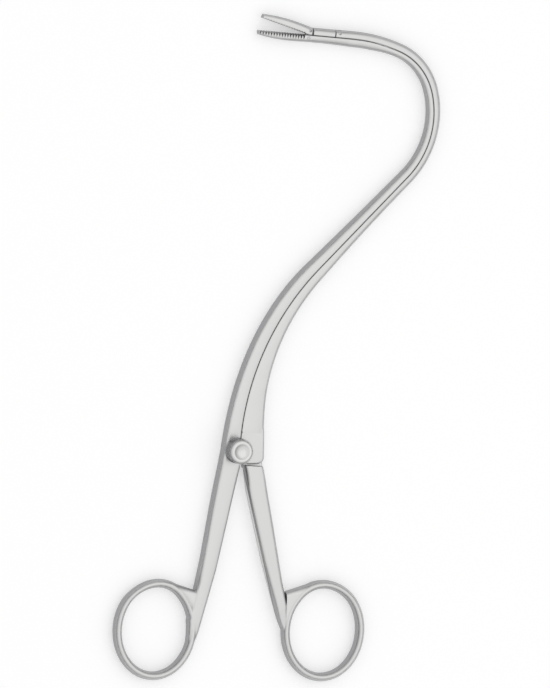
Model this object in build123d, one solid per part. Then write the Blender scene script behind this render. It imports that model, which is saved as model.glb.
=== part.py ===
"""Nephrostomy forceps: S-bent neck of two sliding rails, a hinged upper jaw and two ring handles.

The forceps lie flat. +Y runs to the hooked end, +Z up through the thumb screw,
and the origin is on the pivot axis, on the plane that the shanks rest on.
"""
import os
from collections import namedtuple
from math import cos, pi, radians, sin

from build123d import *

# Stock and clearances
shank_depth = 4.8          # from the resting plane to the front face
edge_round = 1.1           # rounding along the shanks
seam_round = 0.3           # rounding of the rails' edges beside the seam
rail_gap = 0.12            # between the two rails' sliding faces
layer_gap = 0.1            # between stacked layers at the pivot
running_gap = 0.06         # round a pin or shank that turns
slot_gap = 0.12            # each side of a tongue in its slot

# Sliding line, the curve where the two rails meet, from the pivot to the jaw tips
line_start = (1.3, -1.8)
lower_bend_radius = 92.5
lower_bend_angle = 44.5
straight_length = 44.5
shoulder_radius = 30.5
shoulder_angle = 60.0
hook_radius = 21.5
hook_angle = 51.0
crown_radius = 57.0
crown_angle = 18.5
nose_length = 34.7

# Pivot stack
plate_radius = 4.25
plate_left = -3.0          # the shank itself carries on from here
plate_depth = 1.5
hub_radius = 3.8
hub_depth = 1.5
pocket_gap = 0.25
screw_radius = 1.6
thread_radius = 1.2
knob_radius = 4.45
knob_height = 5.7
knob_bevel = 0.75
knob_dish_radius = 2.7
knob_dish_depth = 0.35
knurl_count = 36
knurl_depth = 0.28

# Drive from the moving handle to the sliding rail
drive_radius = 2.6
drive_stud_radius = 0.6
close_angle = 13.4
open_angle = 3.0

# Tab of the sliding rail, over the moving handle
tab_right = 9.6
tab_bottom = -5.0
tab_inner = 4.6
tab_corner = 2.4
tab_round = 0.9

# Jaws, measured back from the tips along the sliding line
jaw_length = 19.3
jaw_heel = 1.5             # cut square behind the hinge when the jaws are open
jaw_waist_setback = 4.0
jaw_waist_height = 2.2
jaw_waist_depth = 3.2
jaw_tip_height = 1.5
jaw_tip_depth = 2.4
jaw_round = 1.0
tooth_pitch = 1.0
tooth_depth = 0.45
tooth_count = 16
hinge_setback = 18.2
hinge_drop = 1.05
lever_arm = 2.6
hinge_pin_radius = 0.5
link_pin_radius = 0.45
lug_radius = 0.95
tongue_radius = 0.85
tongue_depth = 1.2
link_length = 8.0
link_front_gap = 0.6
link_rear_gap = 0.3
tongue_reach = 1.4

# Studs that keep the sliding rail on the guide rail
stud_radius = 0.55
stud_head_radius = 0.95
stud_head_height = 0.6
stud_neck = 0.9
stud_root = 0.8
stud_stations = (34.0, 80.0, 108.0, 182.0)
release_shift = 3.2

# Finger rings
ring_half_width = 13.75
ring_half_length = 16.1
ring_band = 3.0
left_ring_centre = (-26.5, -62.6)
right_ring_centre = (35.6, -63.0)
web_start_angle = 74.0
web_slope = 17.0
web_length = 10.6
web_heel_angle = -12.0
web_heel_width = 0.9
web_heel_rise = 4.0
web_depth = 4.3
web_round = 1.5

# Shanks, along their inner edges
left_shank_top = (2.55, -1.8)
left_shank_lean = 12.1
left_shank_length = 60.0
right_shank_top = (2.85, -2.4)
right_shank_lean = 15.6
right_shank_length = 55.0
shank_tail_radius = 40.0
shank_tail_angle = 15.0

# Worked out from the sizes above
mid = shank_depth / 2
hub_floor = plate_depth + layer_gap
hub_top = hub_floor + hub_depth
tab_floor = hub_top + layer_gap
knob_seat = shank_depth + layer_gap
half_swing = radians(close_angle / 2)
slide_travel = 2 * lever_arm * sin(half_swing)
back_travel = drive_radius * sin(radians(open_angle))
bend_end = lower_bend_radius * radians(lower_bend_angle)

# One cross-section of a bar: where it is along its edge line, and its size there
Station = namedtuple("Station", "distance width depth rounding")

guide_stations = (
    Station(0.0, 5.9, shank_depth, edge_round),
    Station(15.0, 4.9, shank_depth, edge_round),
    Station(42.0, 4.3, shank_depth, 1.2),
    Station(bend_end, 3.5, shank_depth, 1.4),
    Station(93.0, 2.95, 4.5, 1.6),
    Station(118.0, 2.5, 4.2, 1.6),
    Station(143.0, 2.1, 4.0, 1.5),
    Station(165.0, 2.1, 3.9, 1.5),
    Station(186.0, 2.5, 3.9, 1.5),
)
slide_stations = (
    Station(8.2, 7.9, shank_depth, edge_round),
    Station(15.0, 7.3, shank_depth, edge_round),
    Station(29.0, 5.9, shank_depth, 1.2),
    Station(43.0, 4.7, shank_depth, 1.3),
    Station(bend_end, 3.5, shank_depth, 1.4),
    Station(93.0, 2.8, 4.5, 1.6),
    Station(118.0, 2.6, 4.2, 1.6),
    Station(143.0, 2.7, 4.0, 1.5),
    Station(165.0, 2.8, 3.9, 1.5),
    Station(186.0, 2.5, 3.9, 1.5),
)


def sliding_line():
    """The edge line that both rails follow, as tangent arcs and straights."""
    lower = JernArc(line_start, (0, 1), lower_bend_radius, -lower_bend_angle)
    straight = PolarLine(lower @ 1, straight_length, direction=lower % 1)
    shoulder = JernArc(straight @ 1, straight % 1, shoulder_radius, shoulder_angle)
    hook = JernArc(shoulder @ 1, shoulder % 1, hook_radius, hook_angle)
    crown = JernArc(hook @ 1, hook % 1, crown_radius, crown_angle)
    nose = PolarLine(crown @ 1, nose_length, direction=crown % 1)
    return Wire([lower, straight, shoulder, hook, crown, nose])


line = sliding_line()
nose_section = guide_stations[-1]
jaw_root = line.length - jaw_length


def frame_at(path, distance, side=1, gap=0.0):
    """A plane square to the path, its x axis pointing out to one side of it."""
    point = path.position_at(distance, position_mode=PositionMode.LENGTH)
    along = path.tangent_at(distance, position_mode=PositionMode.LENGTH)
    out = Vector(-along.Y, along.X) * side
    return Plane(origin=point + out * gap + Vector(0, 0, mid), x_dir=out, z_dir=along)


def bar_section(width, depth, rounding, both=False):
    """Rounded on its outer side, and on its inner one as much or only a little."""
    face = Rectangle(width, depth, align=(Align.MIN, Align.CENTER))
    inner = min(rounding, 0.45 * width) if both else seam_round
    outer = min(rounding, 0.45 * depth, 0.45 * width if both else 0.8 * width - seam_round)
    face = fillet(face.vertices().group_by(Axis.X)[-1], outer)
    return fillet(face.vertices().group_by(Axis.X)[0], min(inner, 0.45 * depth))


def section_at(stations, distance):
    """The section between two stations, each size in proportion."""
    for before, after in zip(stations, stations[1:]):
        if distance <= after.distance:
            share = (distance - before.distance) / (after.distance - before.distance)
            sizes = [start + (end - start) * share for start, end in zip(before[1:], after[1:])]
            return Station(distance, *sizes)
    return stations[-1]


def bar(path, stations, side, gap=0.0, both=False):
    """A bar swept along its inner edge line, one stretch for each arc or straight of the line."""
    first = stations[0].distance
    last = stations[-1].distance
    body = None
    reached = 0.0
    for edge in path.edges():
        start = max(first, reached)
        end = min(last, reached + edge.length)
        if end - start > 0.01:
            stretch = edge.trim((start - reached) / edge.length, min((end - reached) / edge.length, 1.0))
            inner = [place.distance for place in stations if start + 0.5 < place.distance < end - 0.5]
            sections = []
            for distance in [start, *inner, end]:
                place = section_at(stations, distance)
                section = bar_section(place.width - gap, place.depth, place.rounding, both)
                plane = frame_at(edge, min(distance - reached, edge.length), side, gap)
                sections.append((plane * section).faces()[0])
            piece = sweep(sections, path=stretch, multisection=True)
            body = piece if body is None else body + piece
        reached += edge.length
    return body


def nose_plane(setback=0.0, height=0.0):
    """Plane at the nose: x runs back from the tips, y out of the guide rail, z up."""
    tip = line @ 1
    back = -(line % 1)
    out = Vector(-back.Y, back.X)
    return Plane(origin=tip + back * setback + out * height + Vector(0, 0, mid), x_dir=back, z_dir=(0, 0, 1))


def disc(radius, bottom, top, centre=(0, 0)):
    """An upright cylinder between two heights."""
    return Pos(centre[0], centre[1], bottom) * Cylinder(radius, top - bottom, align=(Align.CENTER, Align.CENTER, Align.MIN))


def slab(face, bottom, top):
    """A flat outline given its place in the stack."""
    return Pos(0, 0, bottom) * extrude(face, amount=top - bottom)


def ring_point(angle, reach=0.0):
    """A point on the right oval's centre line, or further out; 0 degrees faces the shank."""
    outward = Vector(-cos(radians(angle)) / ring_half_width, sin(radians(angle)) / ring_half_length)
    centre_line = Vector(-ring_half_width * cos(radians(angle)), ring_half_length * sin(radians(angle)))
    return centre_line + outward.normalized() * reach


def ring(centre, on_left=False):
    """An oval finger ring of a rounded band, with the web that joins it to its shank."""
    oval = Ellipse(ring_half_width, ring_half_length).edges()[0]
    start = oval @ 0
    place = Plane(origin=start, x_dir=start.normalized(), z_dir=oval % 0)
    band = sweep(place * Ellipse(ring_band / 2, mid), path=oval)
    leave = ring_point(web_start_angle, 0.4 * ring_band)
    slope = Vector(-cos(radians(web_slope)), -sin(radians(web_slope)))
    heel = ring_point(web_heel_angle)
    outline = Polyline(
        leave,
        leave + slope * web_length,
        (heel.X - web_heel_width, heel.Y + web_heel_rise),
        heel,
        ring_point(20),
        ring_point(45),
        ring_point(web_start_angle),
        close=True,
    )
    web = extrude(make_face(outline), amount=web_depth / 2, both=True)
    upper = web.edges().filter_by(GeomType.LINE).filter_by(Axis.Z, reverse=True)
    upper = upper.filter_by(lambda edge: abs((edge % 0).dot(slope)) > 0.999)
    body = band + fillet(upper, web_round)
    if on_left:
        body = body.mirror(Plane.YZ)
    return Pos(centre[0], centre[1], mid) * body


def shank_path(top, lean, length, side):
    """A shank's inner edge: straight from the pivot, then curling into the ring."""
    heading = Vector(side * sin(radians(lean)), -cos(radians(lean)))
    run = PolarLine(top, length, direction=heading)
    tail = JernArc(run @ 1, run % 1, shank_tail_radius, side * shank_tail_angle)
    return Wire([run, tail])


def shank(path, widths, side):
    """A tapering shank; its last section ends inside the ring's band."""
    top, upper, lower, neck = widths
    stations = (
        Station(0.0, top, shank_depth, edge_round),
        Station(16.0, upper, shank_depth, edge_round),
        Station(37.0, lower, shank_depth, edge_round),
        Station(path.edges()[0].length, neck, shank_depth, edge_round),
        Station(path.length, 0.55 * ring_band, 0.7 * shank_depth, 0.8),
    )
    return bar(path, stations, side, both=True)


def tooth_cuts(below):
    """V grooves across a jaw's face; below is -1 for the lower jaw and 1 for the upper."""
    cuts = []
    half = tooth_pitch / 2
    overlap = 0.2
    for index in range(tooth_count):
        setback = tooth_pitch * (index + 1)
        groove = Polyline(
            (-half, -below * overlap),
            (-half, 0),
            (0, below * tooth_depth),
            (half, 0),
            (half, -below * overlap),
            close=True,
        )
        face = nose_plane(setback, below * rail_gap / 2) * make_face(groove)
        cuts.append(extrude(face, amount=shank_depth / 2, both=True))
    return cuts


def jaw_stations(start):
    """Sections of a jaw from its root to its tip."""
    return (
        Station(start, *nose_section[1:]),
        Station(line.length - jaw_waist_setback, jaw_waist_height, jaw_waist_depth, jaw_round),
        Station(line.length, jaw_tip_height, jaw_tip_depth, jaw_round),
    )


def guide_studs():
    """Headed studs set in the guide rail and standing in the sliding rail's slots."""
    studs = []
    for distance in stud_stations:
        place = frame_at(line, distance, side=-1)
        seat = Plane(origin=place.origin, z_dir=place.x_dir, x_dir=place.z_dir)
        neck = Cylinder(stud_radius, stud_root + stud_neck, align=(Align.CENTER, Align.CENTER, Align.MIN))
        head = Cylinder(stud_head_radius, stud_head_height, align=(Align.CENTER, Align.CENTER, Align.MIN))
        studs.append(seat * (Pos(0, 0, -stud_root) * neck + Pos(0, 0, stud_neck) * head))
    return studs


def stud_holes():
    """Holes in the guide rail that the studs are set in."""
    holes = []
    for distance in stud_stations:
        place = frame_at(line, distance, side=-1)
        seat = Plane(origin=place.origin, z_dir=place.x_dir, x_dir=place.z_dir)
        depth = stud_root + rail_gap
        holes.append(seat * Pos(0, 0, -stud_root) * Cylinder(
            stud_radius, depth, align=(Align.CENTER, Align.CENTER, Align.MIN)))
    return holes


def stud_slots():
    """Keyhole slots in the sliding rail: neck slot, head chamber and the entry for the head."""
    slots = []
    reach = slide_travel + back_travel + 2 * slot_gap
    middle = (back_travel - slide_travel) / 2
    for distance in stud_stations:
        place = frame_at(line, distance, side=-1)
        seat = Plane(origin=place.origin, z_dir=place.x_dir, x_dir=place.z_dir)
        bottom = (Align.CENTER, Align.CENTER, Align.MIN)
        neck_slot = SlotCenterToCenter(reach + release_shift, 2 * (stud_radius + slot_gap))
        head_slot = SlotCenterToCenter(reach + release_shift, 2 * (stud_head_radius + slot_gap))
        shift = middle + release_shift / 2
        chamber_floor = stud_neck - slot_gap
        chamber = extrude(head_slot, amount=stud_head_height + 2 * slot_gap)
        entry = Cylinder(stud_head_radius + slot_gap, chamber_floor + slot_gap, align=bottom)
        cutter = Pos(shift, 0, 0) * extrude(neck_slot, amount=stud_neck)
        cutter += Pos(shift, 0, chamber_floor) * chamber
        cutter += Pos(shift + (reach + release_shift) / 2, 0, 0) * entry
        slots.append(seat * cutter)
    return slots


def hinge_point():
    """Axis of the upper jaw's hinge, in the lower rail's slotted end."""
    return nose_plane(hinge_setback, -hinge_drop).origin


def front_pin_point():
    """Axis of the pin between the link and the upper jaw, jaws open as at rest."""
    back = lever_arm * sin(half_swing)
    up = lever_arm * cos(half_swing)
    return nose_plane(hinge_setback + back, up - hinge_drop).origin


def rear_pin_point():
    """Axis of the pin between the link and the sliding rail."""
    setback = jaw_length + link_front_gap + link_length + link_rear_gap + tongue_reach
    height = lever_arm * cos(half_swing) - hinge_drop
    return nose_plane(setback, height).origin


def cross_pin(point, radius, length):
    """A plain pin across the nose, centred on its depth."""
    return Pos(point.X, point.Y, mid) * Cylinder(radius, length)


def nose_block(start, end, bottom, top, depth):
    """A plain block at the nose between two setbacks and two heights."""
    corner = nose_plane((start + end) / 2, (bottom + top) / 2)
    return corner * Box(end - start, top - bottom, depth)


def fixed_half():
    """Left ring and shank, back plate, guide rail and lower jaw, forged in one."""
    path = shank_path(left_shank_top, left_shank_lean, left_shank_length, -1)
    body = shank(path, (7.2, 6.8, 5.9, 4.6), -1)
    neck_room = Polyline((1.0, 0), (1.0, -3.6), (1.6, -6.6), (6, -6.6), (6, 0), close=True)
    body -= slab(make_face(neck_room), -1, shank_depth + 1)
    body += ring(left_ring_centre, on_left=True)
    body += bar(line, guide_stations[:-1] + jaw_stations(jaw_root), 1, gap=rail_gap / 2)
    body -= disc(hub_radius + pocket_gap, plate_depth, shank_depth + 1)
    plate = Circle(plate_radius) & Pos(plate_left, 0) * Rectangle(
        2 * plate_radius, 2 * plate_radius, align=(Align.MIN, Align.CENTER))
    body += slab(plate, 0, plate_depth)
    body -= disc(thread_radius + running_gap, -1, plate_depth + 1)
    for cut in tooth_cuts(-1) + stud_holes():
        body -= cut
    slot_depth = tongue_depth + 2 * slot_gap
    slot_start = hinge_setback - lug_radius - slot_gap
    swing = radians(close_angle + open_angle)
    slot_end = hinge_setback + lug_radius + hinge_drop * sin(swing) + slot_gap
    body -= nose_block(slot_start, slot_end, -nose_section.width - 1, 1, slot_depth)
    body -= cross_pin(hinge_point(), hinge_pin_radius, shank_depth)
    return body


def sliding_rail():
    """Upper rail with the tab, the slotted lobe under the screw and the forked front end."""
    fork_end = jaw_length + link_front_gap + link_length + link_rear_gap
    last = Station(line.length - fork_end, *nose_section[1:])
    body = bar(line, slide_stations[:-1] + (last,), -1, gap=rail_gap / 2)
    left = line_start[0] + rail_gap / 2
    start = frame_at(line, slide_stations[0].distance, -1, rail_gap / 2).origin
    outline = Polyline(
        (left, line_start[1]),
        (start.X, start.Y),
        (tab_right, start.Y),
        (tab_right, tab_bottom),
        (tab_inner, tab_bottom),
        (left, -0.9 * hub_radius),
        close=True,
    )
    plate = make_face(outline)
    corner = plate.vertices().group_by(Axis.Y)[0].sort_by(Axis.X)[-1]
    plate = fillet(corner, tab_corner) + Circle(hub_radius)
    tab = slab(plate, tab_floor, shank_depth)
    front = tab.edges().group_by(Axis.Z)[-1].filter_by(lambda edge: edge.bounding_box().max.X > tab_right - 0.1)
    tab = fillet(front, tab_round)
    screw_slot = SlotCenterToCenter(slide_travel + back_travel, 2 * (screw_radius + 3 * slot_gap), rotation=90)
    screw_shift = (back_travel - slide_travel) / 2
    tab -= slab(Pos(0, screw_shift) * screw_slot, 0, shank_depth + 1)
    stud_slot = Pos(-drive_radius, 0) * SlotCenterToCenter(0.8, 2 * (drive_stud_radius + running_gap))
    tab -= slab(stud_slot, 0, shank_depth + 1)
    body += tab
    for cut in stud_slots():
        body -= cut
    slot_depth = tongue_depth + 2 * slot_gap
    slot_end = fork_end + tongue_reach + tongue_radius + 2 * slot_gap
    body -= nose_block(fork_end - 1, slot_end, -1, nose_section.width + 1, slot_depth)
    body -= cross_pin(rear_pin_point(), link_pin_radius, shank_depth)
    return body


def moving_handle():
    """Right ring and shank with the hub that turns under the sliding rail's tab."""
    path = shank_path(right_shank_top, right_shank_lean, right_shank_length, 1)
    body = shank(path, (6.5, 6.1, 5.0, 4.0), 1)
    front_cut = Polyline((-2, -5.4), (4, -5.4), (14, -6.1), (14, 4), (-2, 4), close=True)
    body -= slab(make_face(front_cut), hub_top, shank_depth + 1)
    shoulder = Polyline((0, 0), (2.6, -2.8), (4.0, -6.6), (10.4, -6.6), (8.9, -2.2), (3.2, 2.0), close=True)
    outline = fillet(make_face(shoulder).vertices().sort_by(Axis.X)[-2:], 1.0)
    body += slab(outline, 0, hub_top)
    body -= disc(plate_radius + layer_gap + running_gap, -1, hub_floor)
    body += disc(hub_radius, hub_floor, hub_top)
    body += ring(right_ring_centre)
    body -= disc(screw_radius + running_gap, -1, shank_depth)
    body -= disc(drive_stud_radius, hub_floor - 1, shank_depth, (-drive_radius, 0))
    return body


def drive_stud():
    """Stud set in the hub, which pushes the sliding rail."""
    return disc(drive_stud_radius, hub_floor, shank_depth - layer_gap, (-drive_radius, 0))


def thumb_screw():
    """Shouldered screw with a knurled head and a dished face."""
    head_top = knob_seat + knob_height
    bevel_height = 0.6 * knob_bevel
    profile = Polyline(
        (0, layer_gap),
        (thread_radius, layer_gap),
        (thread_radius, hub_floor),
        (screw_radius, hub_floor),
        (screw_radius, knob_seat),
        (knob_radius - 0.3, knob_seat),
        (knob_radius, knob_seat + 0.3),
        (knob_radius, head_top - bevel_height),
        (knob_radius - knob_bevel, head_top),
        (0, head_top),
        close=True,
    )
    body = revolve(Plane.XZ * make_face(profile), Axis.Z)
    ball_radius = (knob_dish_radius**2 + knob_dish_depth**2) / (2 * knob_dish_depth)
    body -= Pos(0, 0, head_top - knob_dish_depth + ball_radius) * Sphere(ball_radius)
    groove_bottom = knob_seat + 0.5
    groove_top = head_top - bevel_height - 0.2
    width = 2 * pi * knob_radius / knurl_count
    groove = Polyline((knob_radius + 0.1, -width / 2), (knob_radius - knurl_depth, 0),
                      (knob_radius + 0.1, width / 2), close=True)
    cutter = slab(make_face(groove), groove_bottom, groove_top)
    for place in PolarLocations(0, knurl_count):
        body -= place * cutter
    return body


def upper_jaw():
    """Serrated jaw with a lug on the hinge pin and a slot for the link's tongue."""
    body = bar(line, jaw_stations(jaw_root - jaw_heel), -1, gap=rail_gap / 2)
    for cut in tooth_cuts(1):
        body -= cut
    slot_depth = tongue_depth + 2 * slot_gap
    pin_height = lever_arm * cos(half_swing) - hinge_drop
    pin_setback = hinge_setback - lever_arm * sin(half_swing)
    slot_floor = pin_height - tongue_radius - 2 * slot_gap
    slot_start = pin_setback - tongue_radius - 2 * slot_gap
    body -= nose_block(slot_start, jaw_length + 2, slot_floor, nose_section.width + 1, slot_depth)
    body -= cross_pin(nose_plane(pin_setback, pin_height).origin, link_pin_radius, shank_depth)
    lug = nose_plane(hinge_setback, -hinge_drop) * Cylinder(lug_radius, tongue_depth)
    web_start = hinge_setback - lug_radius
    web_end = hinge_setback + lug_radius
    lug += nose_block(web_start, web_end, -hinge_drop, slot_floor, tongue_depth)
    hinge = Axis(hinge_point(), (0, 0, 1))
    body = body.rotate(hinge, -close_angle)
    lug = lug.rotate(hinge, -close_angle)
    body -= nose_block(jaw_length, jaw_length + 3, -2, 6, shank_depth + 1)
    body -= nose_block(hinge_setback - lug_radius, jaw_length + 3, -2, rail_gap / 2 + slot_gap, shank_depth + 1)
    body += lug
    body -= cross_pin(hinge_point(), hinge_pin_radius + running_gap, shank_depth)
    return body


def slide_link():
    """Link between the sliding rail and the upper jaw, with a tongue at each end."""
    start = jaw_length + link_front_gap
    end = start + link_length
    stations = (
        Station(line.length - end, *nose_section[1:]),
        Station(line.length - start, *nose_section[1:]),
    )
    body = bar(line, stations, -1, gap=rail_gap / 2)
    height = lever_arm * cos(half_swing) - hinge_drop
    for point, edge in ((front_pin_point(), start + 0.5), (rear_pin_point(), end - 0.5)):
        eye = Pos(point.X, point.Y, mid) * Cylinder(tongue_radius, tongue_depth)
        setback = (point - nose_plane().origin).dot(nose_plane().x_dir)
        first = min(setback, edge)
        last = max(setback, edge)
        web = nose_block(first, last, height - tongue_radius, height + tongue_radius, tongue_depth)
        body += eye + web
        body -= cross_pin(point, link_pin_radius + running_gap, shank_depth)
    return body


def build_parts():
    """Every piece under the name it is kept by."""
    parts = {
        "fixed_half": fixed_half(),
        "moving_handle": moving_handle(),
        "sliding_rail": sliding_rail(),
        "thumb_screw": thumb_screw(),
        "drive_stud": drive_stud(),
        "upper_jaw": upper_jaw(),
        "slide_link": slide_link(),
        "jaw_hinge_pin": cross_pin(hinge_point(), hinge_pin_radius, nose_section.depth - 0.2),
        "link_front_pin": cross_pin(front_pin_point(), link_pin_radius, nose_section.depth - 0.6),
        "link_rear_pin": cross_pin(rear_pin_point(), link_pin_radius, nose_section.depth - 0.6),
    }
    for number, stud in enumerate(guide_studs(), start=1):
        parts[f"guide_stud_{number}"] = stud
    return parts


os.makedirs("parts", exist_ok=True)
for name, shape in build_parts().items():
    export_step(shape, f"parts/{name}.step")
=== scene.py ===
"""Nephrostomy forceps in satin steel, lying on a pale studio floor and seen from above.

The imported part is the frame. This file gives its pieces their finish, puts closer copies in place
of those that show more form than the solids have, and sets the floor, the light and the camera.
"""
from math import atan2, cos, hypot, pi, radians, sin

import bpy
from bpy.props import FloatProperty, FloatVectorProperty, PointerProperty, StringProperty
from mathutils import Matrix, Vector


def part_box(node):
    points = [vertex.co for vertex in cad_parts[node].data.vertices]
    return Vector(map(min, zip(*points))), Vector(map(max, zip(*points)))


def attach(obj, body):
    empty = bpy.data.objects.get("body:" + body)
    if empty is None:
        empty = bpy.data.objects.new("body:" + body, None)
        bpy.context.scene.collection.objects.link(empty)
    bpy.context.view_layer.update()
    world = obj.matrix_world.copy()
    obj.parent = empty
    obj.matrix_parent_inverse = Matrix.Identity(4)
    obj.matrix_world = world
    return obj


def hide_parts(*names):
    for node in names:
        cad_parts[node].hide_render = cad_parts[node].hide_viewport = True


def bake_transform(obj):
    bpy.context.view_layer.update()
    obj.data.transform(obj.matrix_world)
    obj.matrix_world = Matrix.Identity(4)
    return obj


bl_info = {
    "name": "Nephrostomy Forceps",
    "version": (1, 0, 0),
    "blender": (4, 5, 0),
    "location": "View3D > Sidebar > Forceps",
    "description": "Dresses the packed forceps and sets them on a studio floor",
    "category": "Object",
}

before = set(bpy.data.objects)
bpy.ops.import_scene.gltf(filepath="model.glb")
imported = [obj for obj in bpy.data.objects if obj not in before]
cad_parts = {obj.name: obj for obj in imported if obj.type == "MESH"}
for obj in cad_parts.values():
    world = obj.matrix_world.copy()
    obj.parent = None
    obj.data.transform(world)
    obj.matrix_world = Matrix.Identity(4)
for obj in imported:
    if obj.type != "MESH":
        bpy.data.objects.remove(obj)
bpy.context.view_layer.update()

MM = 0.001
MERGE_DISTANCE = 0.001 * MM
SMOOTH_ANGLE = radians(32)

# Buffing and grain of the steel, and the rounding and painted highlight of its edges
BUFFING_PATCH = 9 * MM
GRAIN_HEIGHT = 0.02 * MM
EDGE_ROUND_AND_HIGHLIGHT = 0.42 * MM
FINE_EDGE_ROUND_AND_HIGHLIGHT = 0.07 * MM
EDGE_HIGHLIGHT_STEEL = "#E6E6E5"

# How level a surface is where the walls' painted shade begins to fade and where it is gone: 0 is
# upright and 1 is flat
WALL_SHADE_FADE = (0.25, 0.9)

# How well the rounded-off surface agrees with the true one where the painted edge highlight
# begins and where it is most, and the share of brighter steel there
EDGE_HIGHLIGHT_AGREEMENT = (0.97, 0.8)
MOST_EDGE_HIGHLIGHT = 0.5

# The part of the patches' noise that counts, and what it does to brightness and to roughness
PATCH_NOISE = (0.3, 0.7)
PATCH_BRIGHTNESS = (0.94, 1.0)
PATCH_ROUGHNESS = (-0.04, 0.05)

# Stretches over which a shape change rises from nothing to all of it, in millimetres
LEFT_BOW_TOP = (2, -8)
LEFT_BOW_LENGTH = (-8, -42)
LEFT_BOW_TOP_SHARE = 0.3
HANDLE_BOW_TOP = (-8, -16)
BOW_FROM_RING = (-53, -45)
NOSE_FILL_BEHIND_JAW = (18, 34)
NOSE_FILL_BEFORE_HOOK = (54, 42)
NOSE_FILL_UNDER_NOSE = (126, 132)
TAB_FLARE_ACROSS = (6.5, 9.2)
TAB_FLARE_ALONG = (24, -5)
TAB_FLARE_CORNER = (-6.2, -4.8)

# Share of the handle's bow on its faces, and what its inner side has more and its outer less
HANDLE_FACE_SHARE = 0.6
HANDLE_SIDE_SHARE = 0.4

# The lower jaw's biting edge, the height of its front face at tip and root, and the cutting bars
JAW_EDGE_TIP = Vector((2.6, 145.72, 0.0)) * MM
JAW_EDGE_ROOT = Vector((19.4, 144.28, 0.0)) * MM
JAW_FRONT_TIP = 3.5 * MM
JAW_FRONT_ROOT = 4.4 * MM
JAW_FRONT_RISE = (-0.6, 0.7)
GROOVE_RADIUS = 0.85 * MM
GROOVE_NARROWING = 0.62

# The screw's profile as radius and height in millimetres, from the stem's end to the dish
SCREW_STEM = ((1.2, 0.15), (1.2, 1.65), (1.6, 1.65), (1.6, 4.95), (4.15, 4.95))
SCREW_FACE = ((4.34, 9.86), (4.08, 10.2), (3.76, 10.45), (3.42, 10.58), (3.3, 10.6),
              (2.82, 10.59), (2.62, 10.5), (2.25, 10.3), (1.7, 10.12), (1.0, 10.0), (0.05, 9.96))
KNOB_RADIUS = 4.45
KNURL_BAND = (5.25, 9.75)
KNURL_STEPS = 72
KNURL_ROWS = 9
KNURL_TOLERANCE = 0.01

# The rivets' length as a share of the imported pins'
RIVET_SHARE = 0.94

# The block that fills the groove above the tab, and the round of its right edge
FILLER_LOW = (1.98 * MM, 5.0 * MM, 3.0 * MM)
FILLER_HIGH = (9.52 * MM, 7.4 * MM, 4.8 * MM)
FILLER_ROUND = 0.8 * MM
FILLER_SEGMENTS = 6

# The studio, where a brightness of 1 is white
FLOOR_SIZE = 30.0
FLOOR_DROP = 0.02 * MM
PAPER_LIFT = 0.38
ROOM_AT_HORIZON = 0.16
ROOM_OVERHEAD = 0.95
OVERHEAD_FROM = 0.8
SOFTBOX_PLACE = (0.25, 0.1, 0.9)
SOFTBOX_AIM = Vector((0.02, 0.04, 0))
SOFTBOX_SIZE = 0.7
SOFTBOX_POWER = 0.3
CAMERA_CLIP = (0.1, 10)


class ForcepsFinish(bpy.types.PropertyGroup):
    """Colours and grain of the steel, and the floor's colour."""

    steel_colour: StringProperty(name="Steel", description="Buffed faces, sRGB", default="#D9D9D8")
    # Upright walls take this darker grey as painted shade.
    wall_shade_colour: StringProperty(name="Steel sides", description="Ground walls, sRGB",
                                default="#A4A4A6")
    screw_colour: StringProperty(name="Screw", description="Turned steel, sRGB", default="#DCDCDB")
    pin_colour: StringProperty(name="Pins", description="Ground steel, sRGB", default="#C4C4C6")
    floor_colour: StringProperty(name="Floor", description="Pale floor, sRGB", default="#E2E2E2")
    grain: FloatProperty(name="Grain", description="Size of the last abrasive's grain as drawn",
                         default=0.00018, unit="LENGTH", precision=5)


class ForcepsForm(bpy.types.PropertyGroup):
    """Sizes of what this file shapes."""

    shank_bow: FloatProperty(name="Left shank bow", default=0.8 * MM, unit="LENGTH", precision=5,
                             description="Reach of the left shank's bow to the right")
    handle_bow: FloatProperty(name="Right shank bow", default=0.85 * MM, unit="LENGTH", precision=5,
                              description="Reach of the right shank's bow to the left")
    nose_fill: FloatProperty(name="Nose fill", default=0.6 * MM, unit="LENGTH", precision=5,
                             description="Steel added under the guide rail's nose")
    tab_flare: FloatProperty(name="Tab flare", default=0.95 * MM, unit="LENGTH", precision=5,
                             description="How far the tab widens to its lower corner")
    groove_pitch: FloatProperty(name="Serration pitch", default=1.0 * MM, unit="LENGTH",
                                precision=5, description="From one serration to the next")
    groove_length: FloatProperty(name="Serration length", default=1.9 * MM, unit="LENGTH",
                                 precision=5, description="Reach down the lower jaw's front face")
    groove_depth: FloatProperty(name="Serration depth", default=1.5 * MM, unit="LENGTH",
                                precision=5, description="Depth at the biting edge")
    knurl_depth: FloatProperty(name="Knurl depth", default=0.26 * MM, unit="LENGTH", precision=5,
                               description="Depth of the screw's knurl")


class ForcepsView(bpy.types.PropertyGroup):
    """Where the camera stands and what it takes in."""

    swing: FloatProperty(name="Swing", description="Turn of the view to the left of upright",
                         default=radians(21), subtype="ANGLE")
    tilt: FloatProperty(name="Tilt", description="Lean of the view towards the nose",
                        default=radians(7), subtype="ANGLE")
    aim: FloatVectorProperty(name="Aim", default=(0.015, 0.03605), size=2, unit="LENGTH",
                             description="Right and up from the pivot in the picture plane")
    height: FloatProperty(name="Height", description="Real height of the picture",
                          default=0.23736, unit="LENGTH")


def deselect():
    """Leaves nothing selected, because an operator acts on all that is."""
    for obj in bpy.context.selected_objects:
        obj.select_set(False)


def activate(obj):
    """Makes a piece the only one that the next operator acts on."""
    deselect()
    obj.select_set(True)
    bpy.context.view_layer.objects.active = obj


def dress(obj, material):
    """Gives a piece one material all over."""
    obj.data.materials.clear()
    obj.data.materials.append(material)


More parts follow.
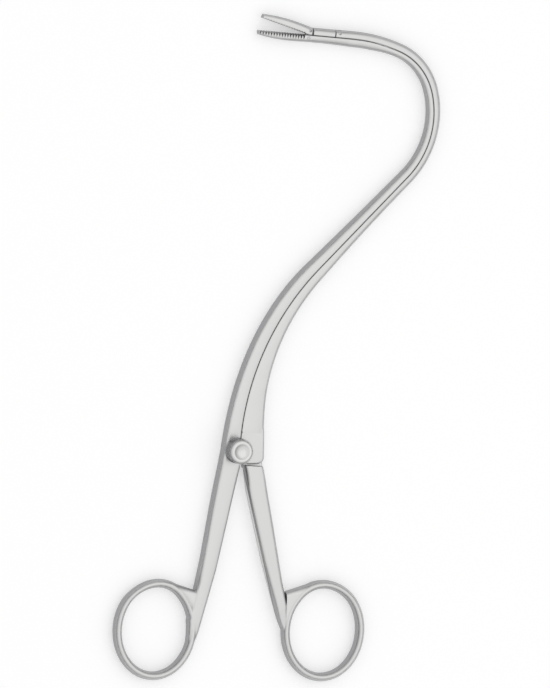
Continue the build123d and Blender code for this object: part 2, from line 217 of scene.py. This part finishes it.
def linear(text):
    """An sRGB hex colour as linear red, green, blue and alpha."""
    parts = [int(text[i:i + 2], 16) / 255 for i in (1, 3, 5)]
    light = [part / 12.92 if part <= 0.04045 else ((part + 0.055) / 1.055) ** 2.4 for part in parts]
    return (*light, 1.0)


def grey(brightness):
    """A linear grey, from 0 for black to 1 for white."""
    return (brightness, brightness, brightness, 1.0)


def add_node(tree, kind, settings=None, values=None, links=None):
    """One node with its settings, its socket values and the sockets that feed it."""
    node = tree.nodes.new(kind)
    for name, value in (settings or {}).items():
        setattr(node, name, value)
    for name, value in (values or {}).items():
        node.inputs[name].default_value = value
    for name, socket in (links or {}).items():
        tree.links.new(socket, node.inputs[name])
    return node


def satin_steel(name, colour, wall_shade_colour, roughness, grain, bump, edge=EDGE_ROUND_AND_HIGHLIGHT):
    """Stainless steel whose flat faces are buffed, with its upright walls painted darker as painted
    shade.

    Broad cloudy patches come from hand buffing and the fine grain from the last abrasive, and
    sharp edges get a painted highlight, a little brighter. Real grain is about 0.05 mm, finer than
    the picture shows, so it is drawn coarser.
    """
    material = bpy.data.materials.new(name)
    material.use_nodes = True
    tree = material.node_tree
    tree.nodes.clear()
    where = add_node(tree, "ShaderNodeTexCoord").outputs
    fine = add_node(tree, "ShaderNodeTexNoise", None,
                    {"Scale": 1 / grain, "Detail": 3.0, "Roughness": 0.6},
                    {"Vector": where["Object"]})
    broad = add_node(tree, "ShaderNodeTexNoise", None,
                     {"Scale": 1 / BUFFING_PATCH, "Detail": 4.0, "Roughness": 0.55},
                     {"Vector": where["Object"]})

    # Upright walls are painted darker than flat faces: painted shade.
    upright = add_node(tree, "ShaderNodeSeparateXYZ", None, None, {"Vector": where["Normal"]})
    flatness = add_node(tree, "ShaderNodeMath", {"operation": "ABSOLUTE"}, None,
                        {0: upright.outputs["Z"]})
    unshaded_face = add_node(tree, "ShaderNodeMapRange", {"interpolation_type": "SMOOTHSTEP"},
                       {"From Min": WALL_SHADE_FADE[0], "From Max": WALL_SHADE_FADE[1]},
                       {"Value": flatness.outputs["Value"]})
    ground_with_wall_shade = add_node(tree, "ShaderNodeMix", {"data_type": "RGBA"},
                      {"A": linear(wall_shade_colour), "B": linear(colour)},
                      {"Factor": unshaded_face.outputs["Result"]})

    # Where the rounded-off surface turns away from the true one, the edge gets a painted highlight.
    soft_edge = add_node(tree, "ShaderNodeBevel", {"samples": 4}, {"Radius": edge})
    true_normal = add_node(tree, "ShaderNodeNewGeometry").outputs["Normal"]
    turn = add_node(tree, "ShaderNodeVectorMath", {"operation": "DOT_PRODUCT"}, None,
                    {0: soft_edge.outputs["Normal"], 1: true_normal})
    edge_highlight = add_node(tree, "ShaderNodeMapRange", None,
                    {"From Min": EDGE_HIGHLIGHT_AGREEMENT[0], "From Max": EDGE_HIGHLIGHT_AGREEMENT[1],
                     "To Max": MOST_EDGE_HIGHLIGHT}, {"Value": turn.outputs["Value"]})
    edge_highlighted = add_node(tree, "ShaderNodeMix", {"data_type": "RGBA"}, {"B": linear(EDGE_HIGHLIGHT_STEEL)},
                       {"Factor": edge_highlight.outputs["Result"], "A": ground_with_wall_shade.outputs["Result"]})

    # Buffing leaves broad patches, from a little darker and glossier to brighter and rougher.
    cloud = add_node(tree, "ShaderNodeMapRange", None,
                     {"From Min": PATCH_NOISE[0], "From Max": PATCH_NOISE[1],
                      "To Min": PATCH_BRIGHTNESS[0], "To Max": PATCH_BRIGHTNESS[1]},
                     {"Value": broad.outputs["Fac"]})
    clouded = add_node(tree, "ShaderNodeVectorMath", {"operation": "SCALE"}, None,
                       {0: edge_highlighted.outputs["Result"], "Scale": cloud.outputs["Result"]})
    gloss = add_node(tree, "ShaderNodeMapRange", None,
                     {"From Min": PATCH_NOISE[0], "From Max": PATCH_NOISE[1],
                      "To Min": roughness + PATCH_ROUGHNESS[0],
                      "To Max": roughness + PATCH_ROUGHNESS[1]}, {"Value": broad.outputs["Fac"]})
    relief = add_node(tree, "ShaderNodeBump", None, {"Strength": bump, "Distance": GRAIN_HEIGHT},
                      {"Height": fine.outputs["Fac"], "Normal": soft_edge.outputs["Normal"]})
    shader = add_node(tree, "ShaderNodeBsdfPrincipled", None, {"Metallic": 1.0},
                      {"Base Color": clouded.outputs["Vector"],
                       "Roughness": gloss.outputs["Result"], "Normal": relief.outputs["Normal"]})
    add_node(tree, "ShaderNodeOutputMaterial", None, None, {"Surface": shader.outputs["BSDF"]})
    return material


def white_paper(colour):
    """Matt background paper: white to the camera and in the steel, with the shadows kept."""
    material = bpy.data.materials.new("white background paper")
    material.use_nodes = True
    tree = material.node_tree
    tree.nodes.clear()
    matt = add_node(tree, "ShaderNodeBsdfDiffuse", None, {"Color": linear(colour)})
    ray = add_node(tree, "ShaderNodeLightPath").outputs
    mirrored = add_node(tree, "ShaderNodeMath", {"operation": "MAXIMUM"}, None,
                        {0: ray["Is Camera Ray"], 1: ray["Is Glossy Ray"]})
    seen = add_node(tree, "ShaderNodeMath", {"operation": "MAXIMUM"}, None,
                    {0: mirrored.outputs["Value"], 1: ray["Is Transmission Ray"]})
    lift = add_node(tree, "ShaderNodeMath", {"operation": "MULTIPLY"}, {1: PAPER_LIFT},
                    {0: seen.outputs["Value"]})
    glow = add_node(tree, "ShaderNodeEmission", None, None, {"Strength": lift.outputs["Value"]})
    both = add_node(tree, "ShaderNodeAddShader", None, None,
                    {0: matt.outputs["BSDF"], 1: glow.outputs["Emission"]})
    add_node(tree, "ShaderNodeOutputMaterial", None, None, {"Surface": both.outputs["Shader"]})
    return material


def merged_copy(name, node):
    """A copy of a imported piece's mesh with its triangles joined, ready to be worked on."""
    obj = bpy.data.objects.new(name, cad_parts[node].data.copy())
    bpy.context.scene.collection.objects.link(obj)
    activate(obj)
    bpy.ops.object.mode_set(mode="EDIT")
    bpy.ops.mesh.select_all(action="SELECT")
    bpy.ops.mesh.remove_doubles(threshold=MERGE_DISTANCE)
    bpy.ops.mesh.customdata_custom_splitnormals_clear()
    bpy.ops.object.mode_set(mode="OBJECT")
    return obj


def ramp(value, start, end):
    """Smooth rise from 0 at start to 1 at end."""
    share = min(max((value - start) / (end - start), 0.0), 1.0)
    return share * share * (3 - 2 * share)


def push(obj, direction, distance, weight):
    """Moves the surface along an axis by a distance times each vertex's weight."""
    activate(obj)
    group = obj.vertex_groups.new(name="push")
    for vertex in obj.data.vertices:
        amount = weight(vertex.co / MM, vertex.normal)
        if amount > 0:
            group.add([vertex.index], min(amount, 1.0), "REPLACE")
    move = obj.modifiers.new("push", "DISPLACE")
    move.direction = direction
    move.mid_level = 0.0
    move.strength = distance
    move.vertex_group = group.name
    bpy.ops.object.modifier_apply(modifier=move.name)
    obj.vertex_groups.clear()


def combine(obj, operation, tool):
    """Cuts the tool out of a piece or joins it on, and removes the tool."""
    activate(obj)
    step = obj.modifiers.new("combine", "BOOLEAN")
    step.operation = operation
    step.solver = "EXACT"
    step.object = tool
    bpy.ops.object.modifier_apply(modifier=step.name)
    bpy.data.objects.remove(tool)


def stand_for(obj, node, body):
    """Puts a finished piece in a packed one's place, on the same body."""
    activate(obj)
    bpy.ops.object.shade_smooth_by_angle(angle=SMOOTH_ANGLE)
    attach(obj, body)
    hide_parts(node)


class ForcepsSteelPieces(bpy.types.Operator):
    """Gives the forged and machined pieces their satin steel."""

    bl_idname = "forceps.steel_pieces"
    bl_label = "Steel pieces"

    def execute(self, context):
        finish = context.scene.forceps_finish
        # Forged stainless steel, buffed: an even satin grey with soft reflections.
        steel = satin_steel("satin steel", finish.steel_colour, finish.wall_shade_colour,
                            roughness=0.34, grain=finish.grain, bump=0.25)
        # Turned stainless steel: a little brighter, with tighter reflections and crisp edges.
        screw = satin_steel("turned steel", finish.screw_colour, finish.wall_shade_colour,
                            roughness=0.26, grain=finish.grain, bump=0.12, edge=FINE_EDGE_ROUND_AND_HIGHLIGHT)
        # Ground stainless wire: smooth, and a little darker than what it holds together.
        pins = satin_steel("ground steel", finish.pin_colour, finish.wall_shade_colour,
                           roughness=0.3, grain=finish.grain, bump=0.1, edge=FINE_EDGE_ROUND_AND_HIGHLIGHT)
        for name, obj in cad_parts.items():
            if name == "thumb_screw":
                dress(obj, screw)
            elif "pin" in name or "stud" in name:
                dress(obj, pins)
            else:
                dress(obj, steel)
        return {"FINISHED"}


class ForcepsGuideHalf(bpy.types.Operator):
    """Bows the left shank, fills the guide rail's nose and cuts the lower jaw's serrations."""

    bl_idname = "forceps.guide_half"
    bl_label = "Guide half"

    def execute(self, context):
        form = context.scene.forceps_form
        half = merged_copy("guide_half", "fixed_half")
        push(half, "X", form.shank_bow, self.bow)
        push(half, "Y", -form.nose_fill, self.fill)
        combine(half, "DIFFERENCE", self.groove_cutter(form))
        stand_for(half, "fixed_half", "guide")
        return {"FINISHED"}

    def bow(self, at, normal):
        """Share of the left shank's bow at a point in millimetres."""
        rise = (LEFT_BOW_TOP_SHARE * ramp(at.y, *LEFT_BOW_TOP)
                + (1 - LEFT_BOW_TOP_SHARE) * ramp(at.y, *LEFT_BOW_LENGTH))
        return rise * ramp(at.y, *BOW_FROM_RING)

    def fill(self, at, normal):
        """Share of the nose's fill at a point in millimetres, on the surface that faces down."""
        return (-normal.y * ramp(at.x, *NOSE_FILL_BEHIND_JAW) * ramp(at.x, *NOSE_FILL_BEFORE_HOOK)
                * ramp(at.y, *NOSE_FILL_UNDER_NOSE))

    def groove_cutter(self, form):
        """One three-sided bar for each groove, from the biting face down the front face."""
        edge_line = JAW_EDGE_ROOT - JAW_EDGE_TIP
        along = edge_line.normalized()
        below = Vector((along.y, -along.x, 0))
        valley = (below * form.groove_length + Vector((0, 0, form.groove_depth))).normalized()
        outward = valley.cross(along)
        if outward.z < 0:
            outward.negate()
        turn = Matrix((along, -outward, valley)).transposed().to_4x4()
        narrow = Matrix.Diagonal((GROOVE_NARROWING, 1, 1, 1))
        count = int(edge_line.length / form.groove_pitch)
        bars = []
        for number in range(count + 1):
            rise = ramp(number / count, *JAW_FRONT_RISE)
            front = JAW_FRONT_TIP + (JAW_FRONT_ROOT - JAW_FRONT_TIP) * rise
            edge = JAW_EDGE_TIP + along * (number * form.groove_pitch)
            height = Vector((0, 0, front - form.groove_depth / 2))
            centre = edge + below * (form.groove_length / 2) + height
            deselect()
            # Twice the groove's length, so that the bar runs out past both of its ends.
            bpy.ops.mesh.primitive_cylinder_add(vertices=3, radius=GROOVE_RADIUS,
                                                depth=2 * form.groove_length)
            bar = bpy.context.active_object
            bar.matrix_world = Matrix.Translation(centre + outward * GROOVE_RADIUS) @ turn @ narrow
            bars.append(bar)
        deselect()
        for bar in bars:
            bar.select_set(True)
        bpy.context.view_layer.objects.active = bars[0]
        bpy.ops.object.join()
        cutter = bpy.context.active_object
        bpy.ops.object.transform_apply(location=True, rotation=True, scale=True)
        bpy.ops.object.mode_set(mode="EDIT")
        bpy.ops.mesh.select_all(action="SELECT")
        bpy.ops.mesh.normals_make_consistent(inside=False)
        bpy.ops.object.mode_set(mode="OBJECT")
        return cutter


class ForcepsLeverHandle(bpy.types.Operator):
    """Bows the right shank, and its inner side more than its outer one."""

    bl_idname = "forceps.lever_handle"
    bl_label = "Lever handle"

    def execute(self, context):
        handle = merged_copy("lever_handle", "moving_handle")
        push(handle, "X", -context.scene.forceps_form.handle_bow, self.bow)
        stand_for(handle, "moving_handle", "lever")
        return {"FINISHED"}

    def bow(self, at, normal):
        """Share of the right shank's bow at a point in millimetres."""
        side = HANDLE_FACE_SHARE - HANDLE_SIDE_SHARE * normal.x
        return side * ramp(at.y, *HANDLE_BOW_TOP) * ramp(at.y, *BOW_FROM_RING)


class ForcepsThumbScrew(bpy.types.Operator):
    """Turns the thumb screw with its dished face, wide bevel and diamond knurl."""

    bl_idname = "forceps.thumb_screw"
    bl_label = "Thumb screw"

    def execute(self, context):
        low, high = KNURL_BAND
        row_height = (high - low) / KNURL_ROWS
        levels = [(KNOB_RADIUS, low + row_height * row) for row in range(KNURL_ROWS + 1)]
        screw = self.turned([(radius * MM, height * MM)
                             for radius, height in (*SCREW_STEM, *levels, *SCREW_FACE)])
        screw.name = "turned_screw"
        shrink = 1 - context.scene.forceps_form.knurl_depth / (KNOB_RADIUS * MM)
        for vertex in screw.data.vertices:
            at = vertex.co / MM
            on_band = abs(hypot(at.x, at.y) - KNOB_RADIUS) < KNURL_TOLERANCE
            row = round((at.z - low) / row_height)
            column = round(atan2(at.y, at.x) / (2 * pi / KNURL_STEPS))
            if on_band and 0 < row < KNURL_ROWS and (row + column) % 2:
                vertex.co.x *= shrink
                vertex.co.y *= shrink
        dress(screw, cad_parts["thumb_screw"].data.materials[0])
        stand_for(screw, "thumb_screw", "screw")
        return {"FINISHED"}

    def turned(self, profile):
        """A round piece, raised from its lowest circle by one extrusion for each point."""
        radius, height = profile[0]
        deselect()
        bpy.ops.mesh.primitive_circle_add(vertices=KNURL_STEPS, radius=radius, fill_type="NGON",
                                          location=(0, 0, height))
        obj = bpy.context.active_object
        bpy.ops.object.mode_set(mode="EDIT")
        bpy.ops.mesh.select_all(action="SELECT")
        for (radius, height), (next_radius, next_height) in zip(profile, profile[1:]):
            rise = (0, 0, next_height - height)
            bpy.ops.mesh.extrude_region_move(TRANSFORM_OT_translate={"value": rise})
            grow = next_radius / radius
            bpy.ops.transform.resize(value=(grow, grow, 1), center_override=(0, 0, next_height))
        bpy.ops.mesh.select_all(action="SELECT")
        bpy.ops.mesh.normals_make_consistent(inside=False)
        bpy.ops.object.mode_set(mode="OBJECT")
        bpy.ops.object.transform_apply(location=True, rotation=True, scale=True)
        return obj


class ForcepsRivets(bpy.types.Operator):
    """Makes the link's two rivets, cut level with the rounded steel round them."""

    bl_idname = "forceps.rivets"
    bl_label = "Rivets"

    def execute(self, context):
        shorter = Matrix.Diagonal((1, 1, RIVET_SHARE, 1))
        for name, node, body in (("rear_rivet", "link_rear_pin", "nose"),
                                 ("front_rivet", "link_front_pin", "jaw")):
            rivet = merged_copy(name, node)
            low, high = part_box(node)
            middle = Vector((0, 0, (low[2] + high[2]) / 2))
            rivet.data.transform(Matrix.Translation(middle) @ shorter
                                 @ Matrix.Translation(-middle))
            stand_for(rivet, node, body)
        return {"FINISHED"}


class ForcepsBendingRail(bpy.types.Operator):
    """Makes the sliding rail with its flared tab."""

    bl_idname = "forceps.bending_rail"
    bl_label = "Bending rail"

    def execute(self, context):
        rail = merged_copy("bending_rail", "sliding_rail")
        combine(rail, "UNION", self.notch_filler())
        push(rail, "X", context.scene.forceps_form.tab_flare, self.flare)
        activate(rail)
        bpy.ops.object.shade_smooth_by_angle(angle=SMOOTH_ANGLE)
        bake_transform(rail)
        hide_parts("sliding_rail")
        return {"FINISHED"}

    def flare(self, at, normal):
        """Share of the tab's flare at a point in millimetres."""
        return (ramp(at.x, *TAB_FLARE_ACROSS) * ramp(at.y, *TAB_FLARE_ALONG)
                * ramp(at.y, *TAB_FLARE_CORNER))

    def notch_filler(self):
        """A block for the groove where the tab's rounded upper edge meets the rail."""
        size = [high - low for low, high in zip(FILLER_LOW, FILLER_HIGH)]
        middle = [(low + high) / 2 for low, high in zip(FILLER_LOW, FILLER_HIGH)]
        deselect()
        bpy.ops.mesh.primitive_cube_add(size=1, location=middle, scale=size)
        filler = bpy.context.active_object
        bpy.ops.object.transform_apply(location=True, rotation=True, scale=True)
        for face in filler.data.polygons:
            face.select = False
        for vertex in filler.data.vertices:
            vertex.select = vertex.co.x > middle[0] and vertex.co.z > middle[2]
        for edge in filler.data.edges:
            edge.select = all(filler.data.vertices[corner].select for corner in edge.vertices)
        bpy.ops.object.mode_set(mode="EDIT")
        bpy.ops.mesh.bevel(offset=FILLER_ROUND, segments=FILLER_SEGMENTS)
        bpy.ops.object.mode_set(mode="OBJECT")
        return filler


class ForcepsStage(bpy.types.Operator):
    """Sets the floor, the soft light and the camera."""

    bl_idname = "forceps.stage"
    bl_label = "Stage"

    def execute(self, context):
        deselect()
        bpy.ops.mesh.primitive_plane_add(size=FLOOR_SIZE, location=(0, 0, -FLOOR_DROP))
        floor = context.active_object
        floor.name = "studio_floor"
        dress(floor, white_paper(context.scene.forceps_finish.floor_colour))
        context.scene.world = self.room()
        self.softbox()
        context.scene.camera = self.camera(context.scene.forceps_view)
        context.scene.view_settings.view_transform = "Standard"
        return {"FINISHED"}

    def room(self):
        """Soft light from all round, bright overhead and dim at the horizon to shade the edges."""
        world = bpy.data.worlds.new("studio room")
        world.use_nodes = True
        tree = world.node_tree
        tree.nodes.clear()
        way = add_node(tree, "ShaderNodeTexCoord").outputs["Generated"]
        split = add_node(tree, "ShaderNodeSeparateXYZ", None, None, {"Vector": way})
        gradient = add_node(tree, "ShaderNodeValToRGB", None, None, {"Fac": split.outputs["Z"]})
        horizon, overhead = gradient.color_ramp.elements
        horizon.position = 0.0
        horizon.color = grey(ROOM_AT_HORIZON)
        overhead.position = OVERHEAD_FROM
        overhead.color = grey(ROOM_OVERHEAD)
        # A low view can look under the floor, and it sees white there too.
        below = add_node(tree, "ShaderNodeMath", {"operation": "LESS_THAN"}, {1: 0.0},
                         {0: split.outputs["Z"]})
        walls = add_node(tree, "ShaderNodeMix", {"data_type": "RGBA"}, {"B": grey(1.0)},
                         {"Factor": below.outputs["Value"], "A": gradient.outputs["Color"]})
        sky = add_node(tree, "ShaderNodeBackground", None, {"Strength": 1.0},
                       {"Color": walls.outputs["Result"]})
        add_node(tree, "ShaderNodeOutputWorld", None, None, {"Surface": sky.outputs["Background"]})
        return world

    def softbox(self):
        """One large soft lamp, high on the right."""
        bpy.ops.object.light_add(type="AREA", location=SOFTBOX_PLACE)
        soft = bpy.context.active_object
        soft.name = "softbox"
        soft.data.shape = "SQUARE"
        soft.data.size = SOFTBOX_SIZE
        soft.data.energy = SOFTBOX_POWER
        soft.rotation_euler = (SOFTBOX_AIM - soft.location).to_track_quat("-Z", "Y").to_euler()

    def camera(self, view):
        """A catalogue view without perspective, swung to the left and tilted to the nose."""
        across = Vector((cos(view.swing), sin(view.swing) * sin(view.tilt),
                         sin(view.swing) * cos(view.tilt)))
        upward = Vector((0, cos(view.tilt), -sin(view.tilt)))
        towards = across.cross(upward)
        turn = Matrix((across, upward, towards)).transposed().to_4x4()
        data = bpy.data.cameras.new("catalogue camera")
        data.type = "ORTHO"
        data.ortho_scale = view.height
        data.clip_start, data.clip_end = CAMERA_CLIP
        camera = bpy.data.objects.new("catalogue camera", data)
        bpy.context.scene.collection.objects.link(camera)
        place = across * view.aim[0] + upward * view.aim[1] + towards
        camera.matrix_world = Matrix.Translation(place) @ turn
        return camera


class ForcepsPanel(bpy.types.Panel):
    """The steps that dress the forceps, in order, and what they can be given."""

    bl_idname = "VIEW3D_PT_forceps"
    bl_label = "Forceps"
    bl_space_type = "VIEW_3D"
    bl_region_type = "UI"
    bl_category = "Forceps"

    def draw(self, context):
        scene = context.scene
        for operator in STEPS:
            self.layout.operator(operator.bl_idname)
        for group in (scene.forceps_finish, scene.forceps_form, scene.forceps_view):
            for name in group.bl_rna.properties.keys():
                if name not in {"rna_type", "name"}:
                    self.layout.prop(group, name)


STEPS = (ForcepsSteelPieces, ForcepsGuideHalf, ForcepsLeverHandle, ForcepsThumbScrew,
         ForcepsRivets, ForcepsBendingRail, ForcepsStage)
CLASSES = (ForcepsFinish, ForcepsForm, ForcepsView, *STEPS, ForcepsPanel)


def register():
    for item in CLASSES:
        bpy.utils.register_class(item)
    bpy.types.Scene.forceps_finish = PointerProperty(type=ForcepsFinish)
    bpy.types.Scene.forceps_form = PointerProperty(type=ForcepsForm)
    bpy.types.Scene.forceps_view = PointerProperty(type=ForcepsView)


def unregister():
    del bpy.types.Scene.forceps_view
    del bpy.types.Scene.forceps_form
    del bpy.types.Scene.forceps_finish
    for item in reversed(CLASSES):
        bpy.utils.unregister_class(item)


def main():
    register()
    bpy.ops.forceps.steel_pieces()
    bpy.ops.forceps.guide_half()
    bpy.ops.forceps.lever_handle()
    bpy.ops.forceps.thumb_screw()
    bpy.ops.forceps.rivets()
    bpy.ops.forceps.bending_rail()
    bpy.ops.forceps.stage()


if __name__ == "__main__":
    main()
